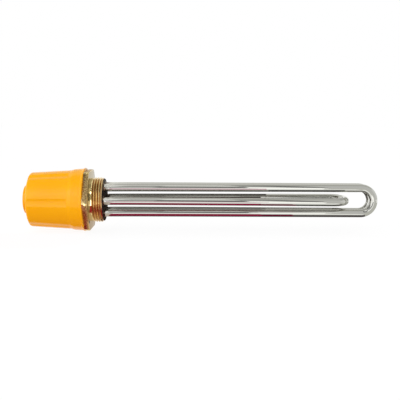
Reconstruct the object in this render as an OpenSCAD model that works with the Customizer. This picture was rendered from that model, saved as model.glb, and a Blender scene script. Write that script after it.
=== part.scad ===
// Screw plug immersion heater: three hairpin elements brazed into a hexagon
// brass plug with a parallel pipe thread, and a push-on plastic terminal cap.
// Frame: +X runs along the thread's axis to the element tips, +Z is up, and the
// origin lies on that axis in the hexagon's sealing face.

/* [Screw plug] */
// Outside diameter of the parallel pipe thread, G 1 1/4
thread_d = 41.91; // [40:0.01:48]
// Length of the threaded band
thread_len = 9.9; // [8:0.1:16]
// Depth of the relief neck below the thread's crests
neck_depth = 0.75; // [0.3:0.05:1.2]
// Length of the relief neck between the sealing face and the thread
neck_len = 2.4; // [2.2:0.1:4]
// Chamfer on the leading thread
lead_chamfer = 1.3; // [0.5:0.1:2]
// Width of the hexagon across its flats
hex_af = 54; // [50:0.5:62]
// Thickness of the hexagon
hex_t = 5; // [3.6:0.1:12]
// Height turned off the hexagon's corners
corner_cut = 0.9; // [0.1:0.1:1]
// Thickness of the end wall that the tubes pass through
end_wall = 6; // [4:0.5:8]
// Step from the hexagon's flats down to the spigot behind it
spigot_step = 0.8; // [0.4:0.1:2]
// Wall of the spigot
spigot_wall = 2.8; // [2:0.1:3.6]
// Chamfer on the spigot's rear edge
spigot_chamfer = 0.6; // [0.2:0.1:1]
// Diameter of the earth boss in the plug's hollow
earth_boss_d = 10; // [8:0.5:12]
// Distance that the earth boss stands out behind the hexagon
earth_boss_out = 3; // [1:0.5:4]

/* [Heating elements] */
// Outside diameter of the element tubes
tube_d = 7.4; // [6.6:0.1:8]
// Wall of the element tubes
tube_wall = 0.7; // [0.5:0.05:0.8]
// Diameter of the circle that the six tube legs stand on
leg_circle_d = 27; // [26:0.5:28]
// Reach of the two outer elements from the sealing face
long_reach = 265.8; // [150:0.1:500]
// Reach of the middle element from the sealing face
short_reach = 240.6; // [140:0.1:480]
// Distance that the tube ends stand out behind the hexagon
tube_out = 6; // [4:0.5:9]
// Unheated length of each leg in front of the plug's end face
cold_len = 28; // [15:1:50]
// Thickness of the wound resistance wire
wire_d = 0.45; // [0.3:0.05:0.6]
// Length of coil that grips the end of each cold pin
coil_grip = 6; // [4:0.5:10]
// Diameter of the cold pins
pin_d = 3; // [2.4:0.1:3.2]
// Height and width of the braze fillets at the tube roots
braze_leg = 1.2; // [0.6:0.1:1.8]

/* [Terminals] */
// Diameter of the terminal studs, M4
stud_d = 4; // [3.5:0.1:5]
// Length of stud behind each ceramic bushing
stud_len = 14; // [12:0.5:18]
// Thickness of the ceramic bushing's collar
bush_collar = 4; // [2:0.5:6]
// Length of the ceramic bushing inside its tube
bush_depth = 5; // [3:0.5:8]
// Length of the rubber seal behind each bushing
seal_len = 3; // [2:0.5:5]
// Width of the terminal nuts across their flats
nut_af = 7; // [6.5:0.1:8]
// Thickness of the terminal nuts
nut_t = 3.2; // [2:0.1:3.5]
// Diameter of the flat washers
washer_d = 9; // [8:0.1:10]
// Thickness of the star link and of the flat washers beside it
link_t = 1; // [0.6:0.1:1.6]
// Width of the star link's strip
link_w = 8; // [7.5:0.1:10]
// Diameter of the split spring washers
spring_d = 7.4; // [6.6:0.1:8.5]
// Thickness of the split spring washers
spring_t = 1; // [0.6:0.1:1.4]
// Width of the split in a spring washer
spring_split = 0.7; // [0.4:0.1:1]
// Diameter of the earth screw's head
earth_head_d = 8; // [7:0.1:9]
// Height of the earth screw's head
earth_head_h = 2.8; // [2.4:0.1:3.5]
// Depth of thread in the earth boss
earth_depth = 7; // [5:0.5:10]
// Width of the slot in the earth screw's head
earth_slot = 1.2; // [0.8:0.1:1.6]

/* [Cap] */
// Wall of the cap's rim outside the spigot
rim_wall = 3.2; // [2.6:0.1:4]
// Height of the lip around the rim
lip_h = 0.7; // [0.3:0.1:1.2]
// Length of the lip along the rim
lip_len = 2.2; // [1:0.1:4]
// Length of the collar, the rim included
collar_len = 10.4; // [8:0.1:14]
// Radius that the collar loses along its length
collar_draft = 0.5; // [0.2:0.1:1]
// Length of the sloping step between collar and body
step_len = 3.2; // [2:0.1:6]
// Height of that step
step_h = 1; // [0.6:0.1:1.6]
// Length of the fluted body behind the step
body_len = 38.3; // [32:0.1:60]
// Radius that the body loses along its length
body_draft = 2.2; // [1:0.1:4]
// Radius of the body's closed edge
edge_r = 2.5; // [1:0.1:4]
// Wall of the body and of the closed end
cap_wall = 2.2; // [1.8:0.1:3]
// Diameter of the boss on the closed end
boss_d = 26.4; // [18:0.2:34]
// Height of the boss
boss_h = 5.1; // [3:0.1:10]
// Diameter of the cable hole in the boss
cable_d = 11; // [6:0.5:12.5]
// Number of finger flutes around the body
flute_count = 6; // [3:1:8]
// Width of a flute
flute_w = 7.2; // [4:0.1:9]
// Depth of a flute
flute_depth = 1; // [0.4:0.1:1.2]

/* [Fits] */
// Clearance between the cap's socket and the spigot
cap_fit = 0.2; // [0.1:0.05:0.3]
// Gap between the spigot's rear face and the bottom of the socket
seat_gap = 0.5; // [0.3:0.1:1]
// Clearance inside the elements and around each tube in its fillet
close_fit = 0.05; // [0.03:0.01:0.1]
// Clearance around each tube in the end wall, which the braze fills
braze_fit = 0.1; // [0.05:0.01:0.15]
// Clearance of nuts, washers and the star link on their studs
stud_fit = 0.1; // [0.05:0.05:0.2]
// Free space around the tubes in the plug's hollow
hollow_gap = 0.5; // [0.3:0.1:1]

/* [Hidden] */
$fn = 96;
eps = 0.5;
x_face = neck_len + thread_len;
x_floor = x_face - end_wall;
x_tube_end = -hex_t - tube_out;
x_seal = x_tube_end + bush_depth;
x_magnesia = x_seal + seal_len;
x_cold = x_face + cold_len;
x_bush = x_tube_end - bush_collar;
x_link = x_bush - nut_t;
x_spring = x_link - link_t;
x_clamp = x_spring - spring_t;
x_earth = -hex_t - earth_boss_out;
thread_r = thread_d / 2;
neck_r = thread_r - neck_depth;
hex_corner_r = hex_af / sqrt(3);
spigot_r = hex_af / 2 - spigot_step;
spigot_len = collar_len - seat_gap;
leg_r = leg_circle_d / 2;
leg_step = 60;
outer_half = leg_r * sin(leg_step);
outer_side = leg_r * cos(leg_step);
tube_r = tube_d / 2;
hollow_r = leg_r + tube_r + hollow_gap;
bore_r = tube_r - tube_wall;
pin_r = pin_d / 2;
coil_in_r = pin_r + close_fit;
coil_out_r = coil_in_r + wire_d;
stud_r = stud_d / 2;
stud_hole_r = stud_r + stud_fit;
stud_tip = stud_d / 8;
socket_r = spigot_r + cap_fit;
rim_r = socket_r + rim_wall;
collar_r = rim_r - lip_h;
collar_end_r = collar_r - collar_draft;
body_r = collar_end_r - step_h;
body_end_r = body_r - body_draft;
h_body = collar_len + step_len;
h_end = h_body + body_len;
h_boss = h_end + boss_h;
boss_edge = cap_wall / 3;
body_slope = atan(body_draft / body_len);
flute_r = (flute_w * flute_w / 4 + flute_depth * flute_depth) / (2 * flute_depth);
// Clock angles of the legs, from the -Y side upwards
middle_angles = leg_step * [0, 3];
front_angles = leg_step * [1, 5];
rear_angles = leg_step * [2, 4];
star_angles = leg_step * [0, 1, 2];
line_angles = leg_step * [3, 4, 5];
all_angles = concat(star_angles, line_angles);
brass = [0.80, 0.62, 0.28];
steel = [0.75, 0.75, 0.76];
plated = [0.62, 0.63, 0.65];

// Turns children drawn along +Z so that they run along +X from the given place
module along_x(x = 0) {
    translate([x, 0, 0])
        rotate([0, 90, 0])
            children();
}

// Places children at the leg with the given clock angle
module at_leg(angle) {
    translate([0, -leg_r * cos(angle), leg_r * sin(angle)])
        children();
}

// A round rod bent to a hairpin in the XY plane, with both ends at x = start
module hairpin_rod(r, half, start, tip) {
    bend_x = tip - tube_r - half;
    for (side = [-1, 1])
        translate([0, side * half, 0])
            along_x(start)
                cylinder(r = r, h = bend_x - start);
    translate([bend_x, 0, 0])
        rotate([0, 0, -90])
            rotate_extrude(angle = 180)
                translate([half, 0])
                    circle(r);
}

// The same hairpin as a tube, open at both ends
module hairpin_tube(r, bore, half, start, tip) {
    difference() {
        hairpin_rod(r, half, start, tip);
        hairpin_rod(bore, half, start - eps, tip);
    }
}

// Sets a hairpin of the XY plane upright in the plane of an outer element
module upright(side) {
    translate([0, side * outer_side, 0])
        rotate([90, 0, 0])
            children();
}

// Metal tube of one element
module sheath(half, tip) {
    color(steel)
        hairpin_tube(tube_r, bore_r, half, x_tube_end, tip);
}

// Pressed powder of one element: a sleeve outside the coil and a core inside it
module magnesia(half, tip) {
    color("whitesmoke") {
        difference() {
            hairpin_rod(bore_r - close_fit, half, x_magnesia, tip);
            hairpin_rod(coil_out_r + close_fit, half, x_cold - coil_grip, tip);
            for (side = [-1, 1])
                translate([0, side * half, 0])
                    along_x(x_magnesia - eps)
                        cylinder(r = coil_in_r, h = x_cold - coil_grip - x_magnesia + 2 * eps);
        }
        hairpin_rod(pin_r, half, x_cold + close_fit, tip);
    }
}

// Wound resistance wire of one element, as the sleeve that its turns fill
module coil(half, tip) {
    color("dimgray")
        hairpin_tube(coil_out_r, coil_in_r, half, x_cold - coil_grip, tip);
}

// Cold pin of one leg with its threaded stud, in one piece
module terminal_pin() {
    along_x(x_bush)
        cylinder(r = pin_r, h = x_cold - x_bush);
    along_x(x_bush - stud_len)
        rotate_extrude()
            polygon([[0, 0], [stud_r - stud_tip, 0], [stud_r, stud_tip], [stud_r, stud_len], [0, stud_len]]);
}

module terminal_pins(angles) {
    color(steel)
        for (angle = angles)
            at_leg(angle)
                terminal_pin();
}

// Ring with its front face at x, for seals, washers and the like
module ring(x, r, hole, t) {
    along_x(x - t)
        difference() {
            cylinder(r = r, h = t);
            translate([0, 0, -eps])
                cylinder(r = hole, h = t + 2 * eps);
        }
}

// Hexagon nut with its front face at x
module nut(x) {
    along_x(x - nut_t)
        difference() {
            cylinder(d = nut_af / cos(30), h = nut_t, $fn = 6);
            translate([0, 0, -eps])
                cylinder(r = stud_hole_r, h = nut_t + 2 * eps);
        }
}

// Split spring washer, pressed flat, with its front face at x
module spring_washer(x) {
    difference() {
        ring(x, spring_d / 2, stud_hole_r, spring_t);
        translate([x - spring_t - eps, 0, -spring_split / 2])
            cube([spring_t + 2 * eps, spring_d, spring_split]);
    }
}

// Brass plug: hexagon, relief neck and thread in front, hollow spigot behind
module screw_plug() {
    color(brass)
        difference() {
            union() {
                plug_turning();
                intersection() {
                    along_x(-hex_t)
                        rotate(30)
                            cylinder(r = hex_corner_r, h = hex_t, $fn = 6);
                    along_x(-hex_t)
                        cylinder(r = hex_corner_r - corner_cut, h = hex_t);
                }
            }
            difference() {
                union() {
                    along_x(-hex_t)
                        cylinder(r = hollow_r, h = hex_t + x_floor);
                    along_x(-hex_t - spigot_len - eps)
                        cylinder(r = spigot_r - spigot_wall, h = spigot_len + eps);
                }
                along_x(x_earth)
                    cylinder(d = earth_boss_d, h = x_floor - x_earth + eps);
            }
            for (angle = all_angles)
                at_leg(angle)
                    along_x(x_floor - eps)
                        cylinder(r = tube_r + braze_fit, h = end_wall + 2 * eps);
            along_x(x_earth - eps)
                cylinder(r = stud_r + stud_fit, h = earth_depth + stud_tip + eps);
        }
}

// Turned outline of the plug, from the spigot's rear edge to the leading thread
module plug_turning() {
    rear = -hex_t - spigot_len;
    along_x()
        rotate_extrude()
            polygon([
                [0, rear], [spigot_r - spigot_chamfer, rear], [spigot_r, rear + spigot_chamfer],
                [spigot_r, -eps], [neck_r, -eps], [neck_r, neck_len],
                [thread_r, neck_len + neck_depth], [thread_r, x_face - lead_chamfer],
                [thread_r - lead_chamfer, x_face], [0, x_face]
            ]);
}

// Moulded cap, drawn from its rim towards its closed end
module cap() {
    color([0.98, 0.69, 0.12])
        translate([-hex_t, 0, 0])
            rotate([0, -90, 0])
                difference() {
                    rotate_extrude()
                        cap_section();
                    for (i = [0 : flute_count - 1])
                        rotate(90 + i * 360 / flute_count)
                            flute();
                }
}

// Half section of the cap's wall, radius across and height above the rim
module cap_section() {
    socket_h = spigot_len + seat_gap;
    inner_slope = body_draft / body_len;
    wall_r = body_r - cap_wall;
    h_floor = h_end - cap_wall;
    h_hole = h_boss - cap_wall;
    edge_turn = 90 - body_slope;
    polygon(concat(
        [[socket_r, 0], [rim_r, 0], [rim_r, lip_len - lip_h], [collar_r, lip_len],
         [collar_end_r, collar_len], [body_r, h_body]],
        // rounded edge of the closed end
        [for (s = [0 : 0.125 : 1])
            [body_end_r - edge_r + edge_r * cos(body_slope + edge_turn * s),
             h_end - edge_r + edge_r * sin(body_slope + edge_turn * s)]],
        [[boss_d / 2, h_end], [boss_d / 2, h_boss - boss_edge], [boss_d / 2 - boss_edge, h_boss],
         [cable_d / 2, h_boss], [cable_d / 2, h_hole],
         [boss_d / 2 - cap_wall, h_hole], [boss_d / 2 - cap_wall, h_floor],
         [wall_r - inner_slope * (h_floor - h_body), h_floor],
         [wall_r, h_body], [wall_r, socket_h], [socket_r, socket_h]]
    ));
}

// Cutter for one finger flute, from the step to the closed end
module flute() {
    translate([body_r - flute_depth + flute_r, 0, h_body])
        rotate([0, -body_slope, 0])
            cylinder(r = flute_r, h = body_len + boss_h);
}

// Two outer elements stand upright on either side, the middle one lies flat between them
module front_sheath() { upright(-1) sheath(outer_half, long_reach); }
module rear_sheath() { upright(1) sheath(outer_half, long_reach); }
module middle_sheath() { sheath(leg_r, short_reach); }
module front_magnesia() { upright(-1) magnesia(outer_half, long_reach); }
module rear_magnesia() { upright(1) magnesia(outer_half, long_reach); }
module middle_magnesia() { magnesia(leg_r, short_reach); }
module front_coil() { upright(-1) coil(outer_half, long_reach); }
module rear_coil() { upright(1) coil(outer_half, long_reach); }
module middle_coil() { coil(leg_r, short_reach); }
module front_terminal_pins() { terminal_pins(front_angles); }
module rear_terminal_pins() { terminal_pins(rear_angles); }
module middle_terminal_pins() { terminal_pins(middle_angles); }

// Rubber seal in the mouth of each tube, between the powder and the bushing
module end_seals() {
    color("lightgray")
        for (angle = all_angles)
            at_leg(angle)
                ring(x_magnesia, bore_r - close_fit, coil_in_r, seal_len);
}

// Ceramic bushing on each tube end: a collar outside and a spigot inside
module ceramic_bushings() {
    color("ivory")
        for (angle = all_angles)
            at_leg(angle)
                along_x(x_bush)
                    difference() {
                        rotate_extrude()
                            polygon([
                                [0, 0], [tube_r, 0], [tube_r, bush_collar],
                                [bore_r - close_fit, bush_collar],
                                [bore_r - close_fit, bush_collar + bush_depth], [0, bush_collar + bush_depth]
                            ]);
                        translate([0, 0, -eps])
                            cylinder(r = coil_in_r, h = bush_collar + bush_depth + 2 * eps);
                    }
}

// Braze fillet around each tube where it leaves the end face
module braze_fillets() {
    root = tube_r + close_fit;
    color("darkgray")
        for (angle = all_angles)
            at_leg(angle)
                along_x(x_face)
                    rotate_extrude()
                        polygon(concat(
                            [[root, 0]],
                            [for (s = [0 : 0.25 : 1])
                                [root + braze_leg * (1 - sin(90 * s)), braze_leg * (1 - cos(90 * s))]]
                        ));
}

module base_nuts() {
    color(plated)
        for (angle = all_angles)
            at_leg(angle)
                nut(x_bush);
}

module clamp_nuts() {
    color(plated)
        for (angle = all_angles)
            at_leg(angle)
                nut(x_clamp);
}

module spring_washers() {
    color(plated)
        for (angle = all_angles)
            at_leg(angle)
                spring_washer(x_spring);
}

module line_washers() {
    color(plated)
        for (angle = line_angles)
            at_leg(angle)
                ring(x_link, washer_d / 2, stud_hole_r, link_t);
}

// Stamped strip that joins one end of each element at the star point
module star_link() {
    color([0.78, 0.50, 0.32])
        along_x(x_link - link_t)
            linear_extrude(link_t)
                difference() {
                    union() {
                        intersection() {
                            difference() {
                                circle(leg_r + link_w / 2);
                                circle(leg_r - link_w / 2);
                            }
                            polygon(concat([[0, 0]],
                                [for (angle = star_angles)
                                    2 * leg_circle_d * [-sin(angle), -cos(angle)]]));
                        }
                        for (angle = star_angles)
                            translate(leg_r * [-sin(angle), -cos(angle)])
                                circle(link_w / 2);
                    }
                    for (angle = star_angles)
                        translate(leg_r * [-sin(angle), -cos(angle)])
                            circle(stud_hole_r);
                }
}

// Slotted screw in the earth boss, over a flat and a spring washer
module earth_screw() {
    under_head = x_earth - link_t - spring_t;
    color(plated)
        difference() {
            union() {
                along_x(under_head - earth_head_h)
                    cylinder(d = earth_head_d, h = earth_head_h);
                along_x(under_head - eps)
                    cylinder(r = stud_r, h = eps + spring_t + link_t + earth_depth);
            }
            translate([under_head - earth_head_h - eps, -earth_head_d, -earth_slot / 2])
                cube([eps + earth_head_h / 2, 2 * earth_head_d, earth_slot]);
        }
}

module earth_washer() {
    color(plated)
        ring(x_earth, washer_d / 2, stud_hole_r, link_t);
}

module earth_spring_washer() {
    color(plated)
        spring_washer(x_earth - link_t);
}

screw_plug();
cap();
front_sheath();
rear_sheath();
middle_sheath();
front_magnesia();
rear_magnesia();
middle_magnesia();
front_coil();
rear_coil();
middle_coil();
front_terminal_pins();
rear_terminal_pins();
middle_terminal_pins();
end_seals();
ceramic_bushings();
braze_fillets();
base_nuts();
star_link();
line_washers();
spring_washers();
clamp_nuts();
earth_screw();
earth_washer();
earth_spring_washer();
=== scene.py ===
import math

import bmesh
import bpy
from mathutils import Matrix, Vector, noise


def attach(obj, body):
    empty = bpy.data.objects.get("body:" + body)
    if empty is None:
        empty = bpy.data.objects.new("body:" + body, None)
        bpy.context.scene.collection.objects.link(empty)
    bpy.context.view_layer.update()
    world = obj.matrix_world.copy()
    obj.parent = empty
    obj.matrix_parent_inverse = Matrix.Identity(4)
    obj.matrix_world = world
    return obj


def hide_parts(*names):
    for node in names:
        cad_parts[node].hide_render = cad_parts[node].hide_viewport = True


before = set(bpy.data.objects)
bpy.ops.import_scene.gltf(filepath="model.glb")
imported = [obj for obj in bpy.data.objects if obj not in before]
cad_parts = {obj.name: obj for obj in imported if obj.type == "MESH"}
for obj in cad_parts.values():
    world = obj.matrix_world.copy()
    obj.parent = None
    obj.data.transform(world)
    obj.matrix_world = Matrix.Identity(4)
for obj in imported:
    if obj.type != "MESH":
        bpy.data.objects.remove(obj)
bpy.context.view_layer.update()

# Screw plug. A brass pressing with a hexagon to take a spanner, turned bright on its front
# face, relief neck and G 1 1/4 pipe thread, while the hexagon's sides keep their sandy skin.
# The hollow spigot behind it carries the cap, and a tapped earth boss stands in the middle.
mm = 0.001
across = Matrix.Rotation(math.pi / 2, 4, "Y")
thread_r = 20.955
thread_depth = 1.48
thread_pitch = 2.309
thread_rows_per_turn = 20
lead_start = 9.6
lead_slope = 0.55
neck_r = 20.205
neck_len = 2.4
neck_edge = 0.15
x_face = 12.3
x_floor = 6.3
hex_corner_r = 31.18
hex_t = 5.0
hex_corner_cut = 1.8
hex_edge_r = 0.3
hex_turn = math.radians(1.2)
spigot_r = 26.2
spigot_end = -14.9
spigot_wall = 2.8
spigot_chamfer = 0.6
hollow_r = 17.7
earth_boss_r = 5.0
x_earth = -8.0
earth_hole_r = 2.1
earth_hole_depth = 7.5
leg_r = 13.5
leg_gap = 0.1
tube_r = 3.7
leg_angles = [math.radians(angle) for angle in range(0, 360, 60)]
leg_places = [(-leg_r * math.cos(angle), leg_r * math.sin(angle)) for angle in leg_angles]


def turn(bm, profile, steps, centre=(0.0, 0.0)):
    """Turns (x, radius) points, in mm, round the line along X through centre (y, z)."""
    y, z = centre
    chain = [bm.verts.new((x * mm, y * mm, (z + r) * mm)) for x, r in profile]
    edges = [bm.edges.new(pair) for pair in zip(chain, chain[1:])]
    bmesh.ops.spin(bm, geom=chain + edges, cent=(0, y * mm, z * mm), axis=(1, 0, 0), angle=math.tau,
                   steps=steps, use_merge=True)


def press_hexagon(bm, corner_r, thickness, x_front, centre=(0.0, 0.0)):
    """A hexagon block along X with its front end at x_front, in mm."""
    y, z = centre
    middle = Matrix.Translation(((x_front - thickness / 2) * mm, y * mm, z * mm))
    bmesh.ops.create_cone(bm, cap_ends=True, segments=6, radius1=corner_r * mm, radius2=corner_r * mm,
                          depth=thickness * mm, matrix=middle @ across)


def round_off(bm, geom, size, segments, affect):
    """Cuts or rounds edges, or the corners of an outline, by a size in mm."""
    bmesh.ops.bevel(bm, geom=geom, offset=size * mm, offset_type="OFFSET", affect=affect,
                    segments=segments, profile=0.5, material=-1)


def close_face(bm, x, facing):
    """Fills the plane at x, in mm, between all free edges that lie in it."""
    free = [e for e in bm.edges if len(e.link_faces) < 2]
    rims = [e for e in free if all(abs(v.co.x - x * mm) < 0.002 * mm for v in e.verts)]
    bmesh.ops.triangle_fill(bm, use_beauty=True, edges=rims, normal=(facing, 0, 0))


def cut_thread(verts, centre, crest, depth, pitch, start, end):
    """Presses a right-hand V groove into turned vertices between start and end, in mm."""
    sharpness = 0.45
    for v in verts:
        x = v.co.x / mm
        if start - 0.001 < x < end + 0.001:
            y, z = v.co.y / mm - centre[0], v.co.z / mm - centre[1]
            turns = x / pitch - math.atan2(z, y) / math.tau + 0.5
            flank = abs(2 * (turns - math.floor(turns)) - 1)
            rounded = sharpness * flank + (1 - sharpness) * flank * flank * (3 - 2 * flank)
            wanted = min(math.hypot(y, z), crest - depth * (1 - rounded))
            v.co.y = (centre[0] + y * wanted / math.hypot(y, z)) * mm
            v.co.z = (centre[1] + z * wanted / math.hypot(y, z)) * mm


def make_piece(name, bm, materials, body, nodes, sharp=35):
    """Makes one piece of a finished mesh, riding on a body in the place of its CAD nodes."""
    bmesh.ops.remove_doubles(bm, verts=bm.verts, dist=0.001 * mm)
    bmesh.ops.recalc_face_normals(bm, faces=bm.faces)
    mesh = bpy.data.meshes.new(name)
    bm.to_mesh(mesh)
    bm.free()
    mesh.shade_smooth()
    mesh.set_sharp_from_angle(angle=math.radians(sharp))
    for material in materials:
        mesh.materials.append(material)
    piece = bpy.data.objects.new(name, mesh)
    bpy.context.collection.objects.link(piece)
    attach(piece, body)
    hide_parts(*nodes)


class Socket:
    """An output in a material's nodes. Sums and products of sockets add Math nodes."""

    def __init__(self, tree, out=None):
        self.tree = tree
        self.out = out

    def node(self, kind, settings=(), values=(), out=0):
        """Adds a node, with its settings first and then its sockets' values or links."""
        made = self.tree.nodes.new(kind)
        for name, setting in dict(settings).items():
            setattr(made, name, setting)
        for name, value in dict(values).items():
            self.feed(made.inputs[name], value)
        return Socket(self.tree, made.outputs[out])

    def feed(self, target, value):
        """Links a socket to an input, or sets the input to a plain value."""
        if isinstance(value, Socket):
            self.tree.links.new(value.out, target)
        else:
            target.default_value = value

    def math(self, operation, first, second):
        return self.node("ShaderNodeMath", {"operation": operation}, {0: first, 1: second})

    def __add__(self, other):
        return self.math("ADD", self, other)

    def __radd__(self, other):
        return self.math("ADD", other, self)

    def __sub__(self, other):
        return self.math("SUBTRACT", self, other)

    def __rsub__(self, other):
        return self.math("SUBTRACT", other, self)

    def __mul__(self, other):
        if isinstance(other, tuple):
            return self.node("ShaderNodeVectorMath", {"operation": "MULTIPLY"}, {0: self, 1: other})
        return self.math("MULTIPLY", self, other)

    def __rmul__(self, other):
        return self.math("MULTIPLY", other, self)

    def blend(self, factor, first, second):
        """Mixes two colours by a factor."""
        return self.node("ShaderNodeMix", {"data_type": "RGBA"}, {0: factor, 6: first, 7: second}, out=2)

    def grains(self, scale, detail, stretch=(1.0, 1.0, 1.0)):
        """Noise of a given number of grains to the metre, drawn out along an axis if wanted."""
        place = self.node("ShaderNodeMapping", {}, {"Vector": self, "Scale": stretch})
        return place.node("ShaderNodeTexNoise", {}, {"Vector": place, "Scale": scale, "Detail": detail})

    def step(self, low, high):
        """Rises from 0 to 1 while this value goes from low to high."""
        return self.node("ShaderNodeMapRange", {"interpolation_type": "SMOOTHSTEP"},
                         {"Value": self, "From Min": low, "From Max": high})

    def along(self, axis):
        """One coordinate of this place."""
        return self.node("ShaderNodeSeparateXYZ", {}, {0: self}, out=axis)

    def relief(self, height, strength):
        """A normal for bumps of that height in metres."""
        return self.node("ShaderNodeBump", {}, {"Height": self, "Distance": height, "Strength": strength})


def new_finish(name, metallic, roughness):
    """A material with its shader, and the place on the piece to build its pattern from."""
    material = bpy.data.materials.new(name)
    material.use_nodes = True
    shader = material.node_tree.nodes["Principled BSDF"]
    shader.inputs["Metallic"].default_value = metallic
    shader.inputs["Roughness"].default_value = roughness
    place = Socket(material.node_tree).node("ShaderNodeTexCoord", out="Object")
    return material, shader, place


crest_gold = (0.92, 0.74, 0.38, 1)
crest_amber = (0.84, 0.64, 0.28, 1)
# Dark brown painted into the thread's grooves as painted shade.
painted_groove_shade = (0.50, 0.24, 0.10, 1)
turned_brass, shader, place = new_finish("turned_brass", 1.0, 0.1)
from_axis = place.node("ShaderNodeVectorMath", {"operation": "LENGTH"}, {0: place * (0, 1, 1)}, out="Value")
in_thread = place.along("X").step(2.3 * mm, 2.9 * mm)
# The thread's grooves, below the crests' radius, are painted darker brown than the crests: painted shade in
# the roots.
groove_shade_mask = (1 - from_axis.step(19.5 * mm, 20.4 * mm)) * in_thread
cut = place.blend(place.grains(160, 3).step(0.35, 0.7), crest_gold, crest_amber)
place.feed(shader.inputs["Base Color"], place.blend(groove_shade_mask, cut, painted_groove_shade))
place.feed(shader.inputs["Roughness"], 0.04 + 0.05 * place.grains(420, 3) + 0.14 * in_thread)
tool_marks = place.grains(2600, 1, (1.0, 0.02, 0.02))
place.feed(shader.inputs["Normal"], tool_marks.relief(0.008 * mm, 0.3))

sand_brown = (0.34, 0.21, 0.085, 1)
sand_gold = (0.76, 0.56, 0.25, 1)
pressed_brass, shader, place = new_finish("pressed_brass", 1.0, 0.5)
sand = place.grains(1100, 3)
place.feed(shader.inputs["Base Color"], place.blend(sand.step(0.38, 0.62), sand_brown, sand_gold))
place.feed(shader.inputs["Roughness"], 0.3 + 0.25 * sand)
place.feed(shader.inputs["Normal"], sand.relief(0.2 * mm, 0.7))

face_straw = (0.60, 0.53, 0.42, 1)
face_tan = (0.50, 0.43, 0.32, 1)
faced_brass, shader, place = new_finish("faced_brass", 1.0, 0.08)
bloom = place.grains(300, 3)
place.feed(shader.inputs["Base Color"], place.blend(bloom, face_straw, face_tan))
place.feed(shader.inputs["Roughness"], 0.05 + 0.06 * bloom)
shader.inputs["Specular Tint"].default_value = (0.78, 0.75, 0.67, 1)

soot_black = (0.008, 0.006, 0.005, 1)
soot_brown = (0.10, 0.07, 0.045, 1)
scorched_brass, shader, place = new_finish("scorched_brass", 0.0, 0.6)
smoke = place.grains(380, 4)
place.feed(shader.inputs["Base Color"], place.blend(smoke.step(0.45, 0.68), soot_black, soot_brown))
place.feed(shader.inputs["Roughness"], 0.45 + 0.3 * smoke)
shader.inputs["Specular IOR Level"].default_value = 0.15
place.feed(shader.inputs["Normal"], smoke.relief(0.2 * mm, 0.6))

bm = bmesh.new()
press_hexagon(bm, hex_corner_r, hex_t, 0)
corners = [e for e in bm.edges if abs(e.verts[0].co.x - e.verts[1].co.x) > mm]
round_off(bm, corners, hex_corner_cut, 1, "EDGES")
rims = [e for e in bm.edges if abs(e.verts[0].co.x - e.verts[1].co.x) < 0.01 * mm]
round_off(bm, rims, hex_edge_r, 2, "EDGES")
bmesh.ops.rotate(bm, cent=(0, 0, 0), matrix=Matrix.Rotation(hex_turn, 3, "X"), verts=bm.verts)
sides = [f for f in bm.faces if abs(f.normal.x) < 0.2]
ends = [f for f in bm.faces if abs(f.normal.x) > 0.99]
smallest_flat = 50 * mm * mm
for face in sides:
    face.material_index = 1 if face.calc_area() > smallest_flat else 0
bmesh.ops.delete(bm, geom=ends, context="FACES_ONLY")

rows = round((x_face - neck_len) / thread_pitch * thread_rows_per_turn)
thread_rows = [neck_len + (x_face - neck_len) * i / rows for i in range(1, rows + 1)]
neck = [(0, neck_r), (neck_len - neck_edge, neck_r), (neck_len, neck_r)]
blank = [(x, min(thread_r, neck_r + x - neck_len, thread_r - lead_slope * (x - lead_start)))
         for x in thread_rows]
turn(bm, neck + blank, 192)
cut_thread(bm.verts, (0, 0), thread_r, thread_depth, thread_pitch, neck_len, x_face)
turn(bm, [(-hex_t, spigot_r), (spigot_end + spigot_chamfer, spigot_r),
          (spigot_end, spigot_r - spigot_chamfer), (spigot_end, spigot_r - spigot_wall),
          (-hex_t, spigot_r - spigot_wall), (-hex_t, hollow_r), (x_floor, hollow_r)], 96)
turn(bm, [(x_floor, earth_boss_r), (x_earth, earth_boss_r), (x_earth, earth_hole_r),
          (x_earth + earth_hole_depth, earth_hole_r), (x_earth + earth_hole_depth, 0)], 32)
for centre in leg_places:
    turn(bm, [(x_floor, tube_r + leg_gap), (x_face, tube_r + leg_gap)], 40, centre)
close_face(bm, 0, 1)
close_face(bm, -hex_t, -1)
close_face(bm, x_face, 1)
close_face(bm, x_floor, -1)
bm.normal_update()
scorch_depth = 0.6
for face in bm.faces:
    middle_x = face.calc_center_median().x / mm
    if abs(middle_x) < 0.01:
        face.material_index = 2
    if middle_x > x_face - scorch_depth:
        face.material_index = 3
brass_finishes = [turned_brass, pressed_brass, faced_brass, scorched_brass]
make_piece("brass_plug", bm, brass_finishes, "heater", ["screw_plug"], sharp=28)

# Heating elements. Three stainless steel tubes, drawn, polished and bent to hairpins, whose six
# legs stand on one circle in the plug's end wall. The two outer ones are longer and stand
# upright, and the middle one lies flat between them.
tube_end = -11.0
bore_r = 3.0
mouth_depth = 4.0
outer_half = leg_r * math.sin(leg_angles[1])
outer_side = leg_r * math.cos(leg_angles[1])
long_reach = 265.8
short_reach = 240.6
outer_lean = math.radians(-2.0)
middle_lean = math.radians(2.4)
tube_bow = 0.4
bow_skew = 0.35
first_ring = 20
ring_step = 12

steel_white = (0.71, 0.71, 0.66, 1)
heat_brown = (0.16, 0.12, 0.09, 1)
steel, shader, place = new_finish("polished_steel", 1.0, 0.06)
drawn = place.grains(900, 2, (0.015, 1.0, 1.0))
near_root = 1 - place.along("X").step(12 * mm, 22 * mm)
smoky = place.grains(260, 3).step(0.30, 0.75) * near_root
place.feed(shader.inputs["Base Color"], place.blend(smoky, steel_white, heat_brown))
place.feed(shader.inputs["Roughness"], 0.03 + 0.05 * drawn + 0.1 * smoky)


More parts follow.
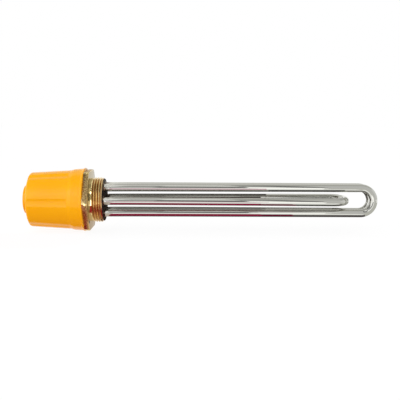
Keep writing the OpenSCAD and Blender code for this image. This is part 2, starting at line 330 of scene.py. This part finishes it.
def bend_tube(half, reach, stand, lean):
    """A tube bent to a hairpin in the XY plane and stood in its place, with a slight lean and bow."""
    bm = bmesh.new()
    bend_x = reach - tube_r - half
    at_bend = Matrix.Translation((bend_x * mm, -half * mm, 0))
    bmesh.ops.create_circle(bm, segments=48, radius=tube_r * mm, matrix=at_bend @ across)
    bmesh.ops.spin(bm, geom=bm.verts[:] + bm.edges[:], cent=(bend_x * mm, 0, 0), axis=(0, 0, 1),
                   angle=math.pi, steps=48)
    for move in (tube_end - bend_x, 0.0, mouth_depth):
        rims = [e for e in bm.edges if len(e.link_faces) == 1]
        made = bmesh.ops.extrude_edge_only(bm, edges=rims)
        verts = [v for v in made["geom"] if isinstance(v, bmesh.types.BMVert)]
        bmesh.ops.translate(bm, vec=(move * mm, 0, 0), verts=verts)
        if move == 0.0:
            for side in (-half, half):
                leg = [v for v in verts if (v.co.y > 0) == (side > 0)]
                bmesh.ops.scale(bm, vec=(1, bore_r / tube_r, bore_r / tube_r), verts=leg,
                                space=Matrix.Translation((0, -side * mm, 0)))
    for x in range(first_ring, round(bend_x), ring_step):
        bmesh.ops.bisect_plane(bm, geom=bm.verts[:] + bm.edges[:] + bm.faces[:],
                               plane_co=(x * mm, 0, 0), plane_no=(1, 0, 0))
    bmesh.ops.transform(bm, matrix=stand, verts=bm.verts)
    for v in bm.verts:
        along = max(0.0, (v.co.x / mm - x_face) / (reach - x_face))
        rise = along ** bow_skew
        v.co = Matrix.Rotation(lean * along, 3, "X") @ v.co
        v.co.z += tube_bow * 4 * rise * (1 - rise) * mm
    return bm


flat = Matrix.Identity(4)
standing = Matrix.Rotation(math.pi / 2, 4, "X")
front = Matrix.Translation((0, -outer_side * mm, 0)) @ standing
rear = Matrix.Translation((0, outer_side * mm, 0)) @ standing
for name, half, reach, stand, lean in (("front", outer_half, long_reach, front, outer_lean),
                                       ("rear", outer_half, long_reach, rear, outer_lean),
                                       ("middle", leg_r, short_reach, flat, middle_lean)):
    bm = bend_tube(half, reach, stand, lean)
    make_piece(name + "_tube", bm, [steel], "heater", [name + "_sheath"])

# Braze at the tube roots. The legs are joined to the end wall with a bead of braze metal that
# runs into an uneven fillet round each tube and stays dull and smoky from the flame.
fillet_r = 1.3
fillet_foot = tube_r + 0.02
lump_size = 0.28
lumps_per_metre = 500

braze_soot = (0.02, 0.016, 0.012, 1)
braze_metal = (0.42, 0.31, 0.20, 1)
braze, shader, place = new_finish("smoky_braze", 1.0, 0.4)
soot = place.grains(520, 4)
place.feed(shader.inputs["Base Color"], place.blend(soot.step(0.4, 0.64), braze_soot, braze_metal))
place.feed(shader.inputs["Roughness"], 0.25 + 0.4 * soot)
place.feed(shader.inputs["Normal"], soot.relief(0.3 * mm, 0.7))

bm = bmesh.new()
arc = [math.radians(angle) for angle in range(0, 91, 15)]
fillet = [(x_face + fillet_r * (1 - math.cos(a)), fillet_foot + fillet_r * (1 - math.sin(a))) for a in arc]
for centre in leg_places:
    turn(bm, [(x_face, fillet_foot)] + fillet + [(x_face, fillet_foot)], 48, centre)
bmesh.ops.remove_doubles(bm, verts=bm.verts, dist=0.001 * mm)
for v in bm.verts:
    centre = min(leg_places, key=lambda c: math.hypot(v.co.y / mm - c[0], v.co.z / mm - c[1]))
    out = Vector((0, v.co.y - centre[0] * mm, v.co.z - centre[1] * mm))
    if out.length > (tube_r + leg_gap) * mm:
        lump = lump_size * noise.noise(v.co * lumps_per_metre) * mm
        v.co += out.normalized() * lump
        if v.co.x > (x_face + 0.01) * mm:
            v.co.x += abs(lump)
make_piece("brazed_roots", bm, [braze], "heater", ["braze_fillets"], sharp=60)

# Filling of the elements. Pressed magnesia powder holds a coil of resistance wire in the middle
# of each tube, and a silicone seal closes the powder off from the air.
powder, shader, place = new_finish("magnesia_powder", 0.0, 0.9)
colour = place.blend(place.grains(1500, 3), (0.80, 0.79, 0.76, 1), (0.90, 0.89, 0.86, 1))
place.feed(shader.inputs["Base Color"], colour)
wire, shader, place = new_finish("resistance_wire", 1.0, 0.5)
colour = place.blend(place.grains(800, 2), (0.30, 0.29, 0.28, 1), (0.42, 0.40, 0.38, 1))
place.feed(shader.inputs["Base Color"], colour)
silicone, shader, place = new_finish("silicone_seal", 0.0, 0.6)
colour = place.blend(place.grains(600, 2), (0.55, 0.54, 0.51, 1), (0.66, 0.65, 0.62, 1))
place.feed(shader.inputs["Base Color"], colour)


def dress(material, *nodes):
    """Gives CAD nodes, whose shape is right, their finish."""
    for name in nodes:
        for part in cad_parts[name].material_slots:
            part.material = material


dress(powder, "front_magnesia", "rear_magnesia", "middle_magnesia")
dress(wire, "front_coil", "rear_coil", "middle_coil")
dress(silicone, "end_seals")

# Terminals. Each leg ends in a ceramic bushing with a steel pin through it, whose M4 stud takes
# a base nut, a washer or the link, a split washer and a clamp nut, all zinc plated. The copper
# link joins one end of each element, and the other three take the supply.
stud_r = 2.0
stud_pitch = 0.7
stud_depth = 0.43
stud_chamfer = 0.5
stud_runout = 0.1
stud_end = -29.0
stud_steps = 200
pin_r = 1.5
pin_end = 40.3
bushing_back = -15.0

ceramic, shader, place = new_finish("fired_ceramic", 0.0, 0.55)
speck = place.grains(1400, 3)
colour = place.blend(speck.step(0.3, 0.7), (0.70, 0.66, 0.56, 1), (0.84, 0.81, 0.72, 1))
place.feed(shader.inputs["Base Color"], colour)
place.feed(shader.inputs["Normal"], speck.relief(0.05 * mm, 0.4))
dress(ceramic, "ceramic_bushings")

plating, shader, place = new_finish("zinc_plating", 1.0, 0.3)
bloom = place.grains(700, 3)
colour = place.blend(bloom.step(0.35, 0.7), (0.52, 0.52, 0.50, 1), (0.68, 0.68, 0.66, 1))
place.feed(shader.inputs["Base Color"], colour)
place.feed(shader.inputs["Roughness"], 0.22 + 0.2 * bloom)
dress(plating, "line_washers", "spring_washers", "earth_washer", "earth_spring_washer", "earth_screw")

copper, shader, place = new_finish("stamped_copper", 1.0, 0.3)
dull = place.grains(300, 4)
colour = place.blend(dull.step(0.4, 0.7), (0.80, 0.42, 0.26, 1), (0.52, 0.24, 0.13, 1))
place.feed(shader.inputs["Base Color"], colour)
place.feed(shader.inputs["Roughness"], 0.2 + 0.25 * dull)
dress(copper, "star_link")

pin_steel, shader, place = new_finish("pin_steel", 1.0, 0.3)
rolled = place.grains(900, 2, (0.05, 1.0, 1.0))
colour = place.blend(rolled, (0.52, 0.52, 0.52, 1), (0.66, 0.65, 0.64, 1))
place.feed(shader.inputs["Base Color"], colour)
place.feed(shader.inputs["Roughness"], 0.2 + 0.2 * rolled)

stud_len = bushing_back - stud_end
stud_rows = [stud_end + stud_len * i / stud_steps for i in range(stud_steps + 1)]
stud = [(x, min(stud_r, stud_r - stud_chamfer + x - stud_end)) for x in stud_rows]
pin = [(bushing_back, pin_r), (pin_end, pin_r), (pin_end, 0)]
for name, legs in (("front", (1, 5)), ("rear", (2, 4)), ("middle", (0, 3))):
    bm = bmesh.new()
    for leg in legs:
        before = set(bm.verts)
        turn(bm, [(stud_end, 0)] + stud + pin, 28, leg_places[leg])
        cut_thread(set(bm.verts) - before, leg_places[leg], stud_r, stud_depth, stud_pitch,
                   stud_end, bushing_back - stud_runout)
    make_piece(name + "_studs", bm, [pin_steel], "heater", [name + "_terminal_pins"], sharp=50)

nut_corner_r = 4.04
nut_t = 3.2
nut_corner_cut = 0.45
nut_gap = 0.1
clamp_nut_x = -20.2
for name, x_front in (("base_nuts", bushing_back), ("clamp_nuts", clamp_nut_x)):
    bm = bmesh.new()
    for centre in leg_places:
        before = set(bm.faces)
        press_hexagon(bm, nut_corner_r, nut_t, x_front, centre)
        ends = [f for f in set(bm.faces) - before if abs(f.normal.x) > 0.9]
        round_off(bm, list({v for f in ends for v in f.verts}), nut_corner_cut, 3, "VERTICES")
        ends = [f for f in set(bm.faces) - before if abs(f.normal.x) > 0.99]
        bmesh.ops.delete(bm, geom=ends, context="FACES_ONLY")
        turn(bm, [(x_front - nut_t, stud_r + nut_gap), (x_front, stud_r + nut_gap)], 32, centre)
    close_face(bm, x_front, 1)
    close_face(bm, x_front - nut_t, -1)
    make_piece(name.replace("_", "_hex_"), bm, [plating], "heater", [name])

# Cap. A push-on cover moulded in one piece of yellow-orange plastic, with a collar that grips the
# spigot, a lip round its rim, a tapered body with six finger flutes, and a boss with the cable
# hole on its closed end.
cap_rim_x = -5.0
cap_wall = 2.2
socket_r = 26.4
lip_r = 29.6
lip_len = 1.5
lip_slope = 0.7
collar_r = 28.9
collar_end_r = 28.4
collar_len = 10.4
step_len = 3.2
body_len = 38.3
body_r = 27.4
body_end_r = 25.2
inner_end_r = 23.13
boss_r = 13.2
boss_len = 5.1
cable_r = 5.5
h_body = collar_len + step_len
h_end = h_body + body_len
h_boss = h_end + boss_len
flute_depth = 1.0
flute_half = math.radians(8)
flute_step = math.radians(60)

light_orange = (0.95, 0.405, 0.0, 1)
light_amber = (0.96, 0.430, 0.001, 1)
plastic, shader, place = new_finish("cap_plastic", 0.0, 0.3)
cloud = place.grains(35, 3)
place.feed(shader.inputs["Base Color"], place.blend(cloud.step(0.3, 0.7), light_orange, light_amber))
skin = place.grains(1600, 2)
place.feed(shader.inputs["Roughness"], 0.15 + 0.06 * skin)
place.feed(shader.inputs["Normal"], skin.relief(0.01 * mm, 0.5))
shader.inputs["Specular IOR Level"].default_value = 0.35

# The wall's section: depth behind the rim, radius, and the rounding of that corner.
section = [(0, socket_r, 0.3), (0, lip_r, 0.7), (lip_len, lip_r, 0.7),
           (lip_len + lip_slope, collar_r, 0.28), (collar_len, collar_end_r, 0.6),
           (h_body, body_r, 0.4), (h_end, body_end_r, 2.2),
           (h_end, boss_r, 0.5), (h_boss, boss_r, 0.7), (h_boss, cable_r, 0.3),
           (h_boss - cap_wall, cable_r, 0.2), (h_boss - cap_wall, boss_r - cap_wall, 0.3),
           (h_end - cap_wall, boss_r - cap_wall, 0.3), (h_end - cap_wall, inner_end_r, 1.0),
           (h_body, body_r - cap_wall, 0.3), (collar_len, body_r - cap_wall, 0.2),
           (collar_len, socket_r, 0.2)]
bm = bmesh.new()
chain = [bm.verts.new(((cap_rim_x - h) * mm, 0, r * mm)) for h, r, rounding in section]
for pair in zip(chain, chain[1:] + chain[:1]):
    bm.edges.new(pair)
for corner, (h, r, rounding) in zip(chain, section):
    round_off(bm, [corner], rounding, 5, "VERTICES")
body_wall = max(bm.edges, key=lambda e: e.calc_length() * (e.verts[0].co.z + e.verts[1].co.z))
bmesh.ops.subdivide_edges(bm, edges=[body_wall], cuts=56)
bmesh.ops.spin(bm, geom=bm.verts[:] + bm.edges[:], cent=(0, 0, 0), axis=(1, 0, 0), angle=math.tau,
               steps=360, use_merge=True)
flute_start = h_body + 0.45
skin_depth = 2.1
end_face_r = 20.0
for v in bm.verts:
    h = cap_rim_x - v.co.x / mm
    r = math.hypot(v.co.y, v.co.z) / mm
    surface = body_r - (h - h_body) * (body_r - body_end_r) / body_len
    if h > flute_start and r > surface - skin_depth and r > end_face_r:
        around = math.atan2(v.co.z, -v.co.y) / flute_step
        aside = (around - round(around)) * flute_step / flute_half
        flute_floor = surface - flute_depth * (1 - aside * aside)
        if flute_floor < r:
            v.co.y *= flute_floor / r
            v.co.z *= flute_floor / r
make_piece("moulded_cap", bm, [plastic], "cap", ["cap"], sharp=50)

# Studio. A white table under soft light that is a little stronger from the left, cards of one
# colour that show only in the metal and the gloss, and a camera that looks at the heater's side
# from a little above.
table_z = -30.0
table_half = 6000.0
card_y = -620.0


def seen_white(tree):
    """1 on rays from the camera, in reflections and through clear pieces, and 0 for the light."""
    paths = [Socket(tree).node("ShaderNodeLightPath", out="Is %s Ray" % ray)
             for ray in ("Camera", "Glossy", "Transmission")]
    return paths[0].math("MINIMUM", paths[0] + paths[1] + paths[2], 1.0)


def flat_sheet(name, material, corners):
    """A flat sheet of the studio with its corners in mm."""
    bm = bmesh.new()
    bm.faces.new([bm.verts.new([c * mm for c in corner]) for corner in corners])
    mesh = bpy.data.meshes.new(name)
    bm.to_mesh(mesh)
    bm.free()
    mesh.materials.append(material)
    sheet = bpy.data.objects.new(name, mesh)
    bpy.context.collection.objects.link(sheet)
    return sheet


def rectangle(left, right, low, high):
    """A rectangle's corners in mm, from its limits along the two axes of its plane."""
    return [(left, low), (right, low), (right, high), (left, high)]


paper, shader, place = new_finish("white_paper", 0.0, 0.9)
shader.inputs["Base Color"].default_value = (0.85, 0.85, 0.85, 1)
glow = place.node("ShaderNodeEmission", {}, {"Color": (1, 1, 1, 1), "Strength": 1.03})
matt = Socket(place.tree, shader.outputs[0])
mixed = place.node("ShaderNodeMixShader", {}, {0: 0.45 + 0.45 * seen_white(place.tree), 1: matt, 2: glow})
place.feed(place.tree.nodes["Material Output"].inputs["Surface"], mixed)
table = rectangle(-table_half, table_half, -table_half, table_half)
flat_sheet("floor", paper, [(x, y, table_z) for x, y in table])


def reflected_card(name, colour, corners):
    """A card of one colour, or of a grey level, that shows only in reflections."""
    tone, shader, place = new_finish(name, 0.0, 1.0)
    red, green, blue = colour if isinstance(colour, tuple) else (colour, colour, colour)
    shader.inputs["Base Color"].default_value = (0, 0, 0, 1)
    shader.inputs["Specular IOR Level"].default_value = 0.0
    shader.inputs["Emission Color"].default_value = (red, green, blue, 1)
    shader.inputs["Emission Strength"].default_value = 1.0
    sheet = flat_sheet(name, tone, corners)
    sheet.visible_camera = False
    sheet.visible_diffuse = False
    sheet.visible_shadow = False
    return sheet


def upright_card(name, colour, outline, y=card_y):
    """A card that stands along the heater, with the (x, z) corners of its outline in mm."""
    return reflected_card(name, colour, [(x, y, z) for x, z in outline])


def level_card(name, colour, outline, z):
    """A card that lies over or under the heater, with the (x, y) corners of its outline in mm."""
    return reflected_card(name, colour, [(x, y, z) for x, y in outline])


# Over everything, a grey ceiling that darkens towards the camera, and a wall beyond the tips.
level_card("ceiling_card", (0.64, 0.64, 0.62), rectangle(-1500, 1700, 60, 1500), 700)
level_card("brow_card", (0.45, 0.45, 0.43), rectangle(-1500, 1700, -280, 60), 700)
reflected_card("right_wall", 0.74, [(1200, y, z) for y, z in rectangle(-600, 1500, -29, 1500)])

# Round the cap, shade from above, a window beyond its end and red cloth below it. The bounce
# card shows in no reflection and gives the cap a warm light from below.
level_card("cap_brow", 0.12, rectangle(-1500, -125, -600, 220), 690)
upright_card("corner_card", 0.15, rectangle(-1500, -205, 620, 2300))
upright_card("cap_veil", 0.35, rectangle(-420, -140, 430, 640))
upright_card("end_window", 1.3, rectangle(-1000, -430, -20, 700))
level_card("cloth_card", (0.36, 0.04, 0.055), rectangle(-120, -22, -88, -14), -29)
bounce = level_card("bounce_card", (0.80, 0.68, 0.66), rectangle(-120, -2, -88, -14), -29)
bounce.visible_diffuse = True
bounce.visible_glossy = False

# Round the hexagon, the neck and the thread, two windows with a dark gap between them, then
# bright table, red cloth and plain table.
level_card("neck_brow", (1.0, 1.0, 0.96), rectangle(-125, -75, -280, 1500), 690)
upright_card("neck_window", 5.0, [(-121, 450), (-110, 450), (-138, 740), (-155, 740)])
upright_card("neck_shade", 0.1, [(-97, 50), (-88, 50), (-110, 450), (-121, 450)])
upright_card("neck_sill", 3.2, [(-100, -29), (-84, -29), (-88, 50), (-97, 50)])
level_card("neck_floor", 3.2, [(-96, -600), (-80, -600), (2, -71), (-14, -71)], -28.8)
level_card("corner_window", 2.6, rectangle(-60, -25, -340, -215), -28.8)
level_card("hexagon_cloth", (0.36, 0.04, 0.055), rectangle(-22, -2, -25, -14), -29)
level_card("neck_cloth", (0.36, 0.03, 0.045), [(-22, -70), (-4.5, -70), (2.5, -25), (-22, -25)], -29)
level_card("thread_floor", (0.50, 0.42, 0.34), rectangle(-8, 14, -72, -25), -29.2)
level_card("shade_card", (0.80, 0.70, 0.62), rectangle(-2, 15, -25, 90), -28.7)

# Round the legs, grey cards at the camera, crimson cloth and a dark table below, a pink strip
# in front, and dark flags behind and between them.
upright_card("left_card", 0.42, rectangle(-72, 20, 0, 900))
upright_card("camera_card", 0.18, rectangle(20, 190, -10, 500))
level_card("crimson_card", (0.30, 0.012, 0.055), rectangle(15, 160, -40, -8), -28.6)
level_card("crimson_end", (0.16, 0.01, 0.035), rectangle(160, 190, -34, -8), -28.6)
level_card("table_card", (0.10, 0.09, 0.09), rectangle(15, 262, -26, 110), -29)
level_card("pink_card", (0.62, 0.30, 0.42), rectangle(14, 165, -40, -22), -1)
level_card("pink_underside", 0.15, rectangle(14, 165, -40, -22), -1.1)
level_card("rear_flag", (0.08, 0.075, 0.07), rectangle(13, 165, 10.6, 24), 9)
upright_card("back_flag", (0.08, 0.075, 0.07), rectangle(13, 236, -29, 9), 24)
upright_card("inner_flag", (0.08, 0.075, 0.07), rectangle(13, 160, -8, 8), 0)

# Round the tips, a window that narrows to the right under a dark brow, then plain grey, and
# dark flags between the legs.
upright_card("right_card", 0.62, rectangle(338, 1700, -29, 2200))
upright_card("tip_brow", 0.40, rectangle(190, 262, 180, 2200))
upright_card("bend_brow", 0.20, rectangle(262, 338, 50, 2200))
upright_card("tip_window", 1.3, [(190, -29), (338, -29), (338, 60), (190, 300)], -618)
level_card("tip_floor", 1.3, [(165, -615), (326, -615), (229, -75), (165, -75)], -28.8)
level_card("bend_floor", (0.62, 0.62, 0.60), rectangle(229, 700, -615, -75), -28.9)
level_card("bend_card", (0.60, 0.60, 0.57), rectangle(262, 420, -75, 110), -29)
level_card("leg_flag", 0.08, rectangle(165, 236, -14, -8.5), 5)
level_card("leg_underside", 0.45, rectangle(165, 236, -14, -8.5), 4.9)
level_card("belly_cloth", (0.15, 0.012, 0.04), rectangle(155, 190, -20, -12), -9)
level_card("belly_flag", 0.08, rectangle(190, 232, -20, -12), -9)
level_card("belly_underside", 0.8, rectangle(155, 232, -20, -12), -9.1)

world = bpy.data.worlds.new("soft_light")
bpy.context.scene.world = world
world.use_nodes = True
sky = world.node_tree.nodes["Background"]
sky.inputs["Color"].default_value = (1, 1, 1, 1)
to_right = Socket(world.node_tree).node("ShaderNodeTexCoord", out="Generated").along("X")
light = 0.86 - 0.5 * to_right
light.feed(sky.inputs["Strength"], light + (1 - light) * seen_white(world.node_tree))

lamp = bpy.data.lights.new("key_lamp", "AREA")
lamp.size = 500 * mm
lamp.energy = 1.5
key_lamp = bpy.data.objects.new("key_lamp", lamp)
key_lamp.location = Vector((-300, -560, 420)) * mm
key_lamp.rotation_euler = (-key_lamp.location).to_track_quat("-Z", "Y").to_euler()
key_lamp.visible_glossy = False
bpy.context.collection.objects.link(key_lamp)

lens = bpy.data.cameras.new("camera")
lens.lens = 61.44
lens.sensor_width = 36.0
lens.clip_start = 0.01
camera = bpy.data.objects.new("camera", lens)
bpy.context.collection.objects.link(camera)
aim = Vector((101.25, 0, -0.25)) * mm
distance = 640 * mm
tilt = math.radians(7.0)
roll = Matrix.Rotation(math.radians(0.15), 3, "Z")
camera.location = aim + distance * Vector((0, -math.cos(tilt), math.sin(tilt)))
camera.rotation_euler = ((aim - camera.location).to_track_quat("-Z", "Y").to_matrix() @ roll).to_euler()
bpy.context.scene.camera = camera
bpy.context.scene.view_settings.view_transform = "Standard"
